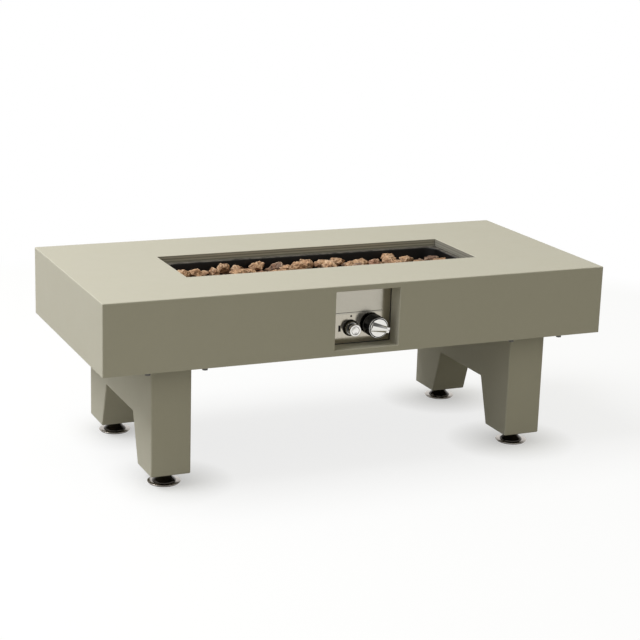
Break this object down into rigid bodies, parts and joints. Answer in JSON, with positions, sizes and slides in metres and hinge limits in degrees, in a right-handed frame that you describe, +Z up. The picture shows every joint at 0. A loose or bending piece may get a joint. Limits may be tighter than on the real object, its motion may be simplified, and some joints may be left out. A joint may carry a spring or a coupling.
{
  "type": "fire pit table",
  "caption": "Long low gas fire pit table: cast body with a sunk burner pan of lava rocks, recessed gas controls, and splayed trestle legs on levelling feet.",
  "frame": {"origin": "on the floor under the middle of the table, at the soles of its feet", "axes": "+Z up, +X along the table to the right, -Y the front with the control recess"},
  "size_m": [1.06, 0.49, 0.385],
  "materials": {
    "cast_stone": "smooth matt sage-grey cast fibre concrete",
    "plate_steel": "galvanised sheet steel",
    "bolt_steel": "zinc-plated steel",
    "insert_brass": "turned brass",
    "foot_chrome": "polished chrome",
    "sole_rubber": "black rubber",
    "pan_enamel": "matt black heat-proof enamel",
    "burner_steel": "stainless steel",
    "elbow_iron": "rough cast iron",
    "tube_aluminium": "drawn aluminium tube",
    "electrode_ceramic": "white technical ceramic",
    "probe_steel": "ground stainless steel",
    "lead_red": "red silicone insulation",
    "lead_copper": "bare copper capillary",
    "panel_steel": "fine brushed stainless steel",
    "label_silver": "matt silver-grey plate, left blank",
    "control_black": "glossy black heat-proof plastic",
    "control_chrome": "polished chrome",
    "spring_steel": "spring wire",
    "battery_sleeve": "plain grey sleeve",
    "lava_rock": "rough porous brown lava"
  },
  "bodies": {
    "table": {"table_body": "cast_stone", "trestle_left": "cast_stone", "trestle_right": "cast_stone", "leg_plate_left": "plate_steel", "leg_plate_right": "plate_steel", "heat_shield": "plate_steel", "plate_bolts": "bolt_steel", "bolt_washers": "bolt_steel", "leg_bolts": "bolt_steel", "pan_screws": "bolt_steel", "leg_inserts": "insert_brass", "foot_inserts": "insert_brass", "valve_body": "insert_brass", "valve_bonnet": "insert_brass", "gas_inlet": "insert_brass", "jet_holder": "insert_brass", "tube_nuts": "insert_brass", "burner_pan": "pan_enamel", "burner_tube": "burner_steel", "burner_brackets": "burner_steel", "burner_riser": "burner_steel", "air_mixer": "burner_steel", "ignition_bracket": "burner_steel", "burner_elbow": "elbow_iron", "supply_tube": "tube_aluminium", "electrode_ceramic": "electrode_ceramic", "spark_electrode": "probe_steel", "thermocouple": "probe_steel", "spark_lead": "lead_red", "thermocouple_lead": "lead_copper", "control_panel": "panel_steel", "panel_label": "label_silver", "igniter_body": "control_black", "igniter_nut": "control_black", "igniter_ring": "control_chrome", "igniter_cap": "control_chrome", "igniter_spring": "spring_steel", "igniter_battery": "battery_sleeve", "lava_rocks_left": "lava_rock", "lava_rocks_middle": "lava_rock", "lava_rocks_right": "lava_rock"},
    "valve_plug": {"valve_plug": "insert_brass", "stem_spring": "spring_steel"},
    "knob": {"gas_knob": "control_black", "knob_face": "control_chrome", "valve_stem": "probe_steel"},
    "igniter_button": {"igniter_button": "control_chrome"},
    "foot_front_left": {"foot_pad_front_left": "foot_chrome", "foot_sole_front_left": "sole_rubber"},
    "stud_front_left": {"foot_stud_front_left": "bolt_steel"},
    "foot_back_left": {"foot_pad_back_left": "foot_chrome", "foot_sole_back_left": "sole_rubber"},
    "stud_back_left": {"foot_stud_back_left": "bolt_steel"},
    "foot_front_right": {"foot_pad_front_right": "foot_chrome", "foot_sole_front_right": "sole_rubber"},
    "stud_front_right": {"foot_stud_front_right": "bolt_steel"},
    "foot_back_right": {"foot_pad_back_right": "foot_chrome", "foot_sole_back_right": "sole_rubber"},
    "stud_back_right": {"foot_stud_back_right": "bolt_steel"}
  },
  "joints": [
    {"name": "knob_turn", "type": "hinge", "parent": "table", "child": "valve_plug", "pos_m": [0.0275, -0.19, 0.2936], "axis": [0, -1, 0], "range_deg": [0, 180]},
    {"name": "knob_push", "type": "slide", "parent": "valve_plug", "child": "knob", "axis": [0, 1, 0], "range_m": [0, 0.004], "stiffness_N_per_m": 1500, "deforming": ["stem_spring"]},
    {"name": "igniter_push", "type": "slide", "parent": "table", "child": "igniter_button", "axis": [0, 1, 0], "range_m": [0, 0.003], "stiffness_N_per_m": 900, "deforming": ["igniter_spring"]},
    {"name": "foot_lift_front_left", "type": "slide", "parent": "table", "child": "foot_front_left", "axis": [0, 0, -1], "range_m": [0, 0.015]},
    {"name": "stud_turn_front_left", "type": "hinge", "parent": "foot_front_left", "child": "stud_front_left", "pos_m": [-0.3845, -0.1638, 0.03], "axis": [0, 0, -1], "range_deg": [0, 3600]},
    {"name": "foot_lift_back_left", "type": "slide", "parent": "table", "child": "foot_back_left", "axis": [0, 0, -1], "range_m": [0, 0.015]},
    {"name": "stud_turn_back_left", "type": "hinge", "parent": "foot_back_left", "child": "stud_back_left", "pos_m": [-0.3845, 0.1638, 0.03], "axis": [0, 0, -1], "range_deg": [0, 3600]},
    {"name": "foot_lift_front_right", "type": "slide", "parent": "table", "child": "foot_front_right", "axis": [0, 0, -1], "range_m": [0, 0.015]},
    {"name": "stud_turn_front_right", "type": "hinge", "parent": "foot_front_right", "child": "stud_front_right", "pos_m": [0.3845, -0.1638, 0.03], "axis": [0, 0, -1], "range_deg": [0, 3600]},
    {"name": "foot_lift_back_right", "type": "slide", "parent": "table", "child": "foot_back_right", "axis": [0, 0, -1], "range_m": [0, 0.015]},
    {"name": "stud_turn_back_right", "type": "hinge", "parent": "foot_back_right", "child": "stud_back_right", "pos_m": [0.3845, 0.1638, 0.03], "axis": [0, 0, -1], "range_deg": [0, 3600]}
  ],
  "couplings": [
    {"joint": "stud_turn_front_left", "follows": "foot_lift_front_left", "rad_per_m": 4188.8},
    {"joint": "stud_turn_back_left", "follows": "foot_lift_back_left", "rad_per_m": 4188.8},
    {"joint": "stud_turn_front_right", "follows": "foot_lift_front_right", "rad_per_m": 4188.8},
    {"joint": "stud_turn_back_right", "follows": "foot_lift_back_right", "rad_per_m": 4188.8}
  ]
}
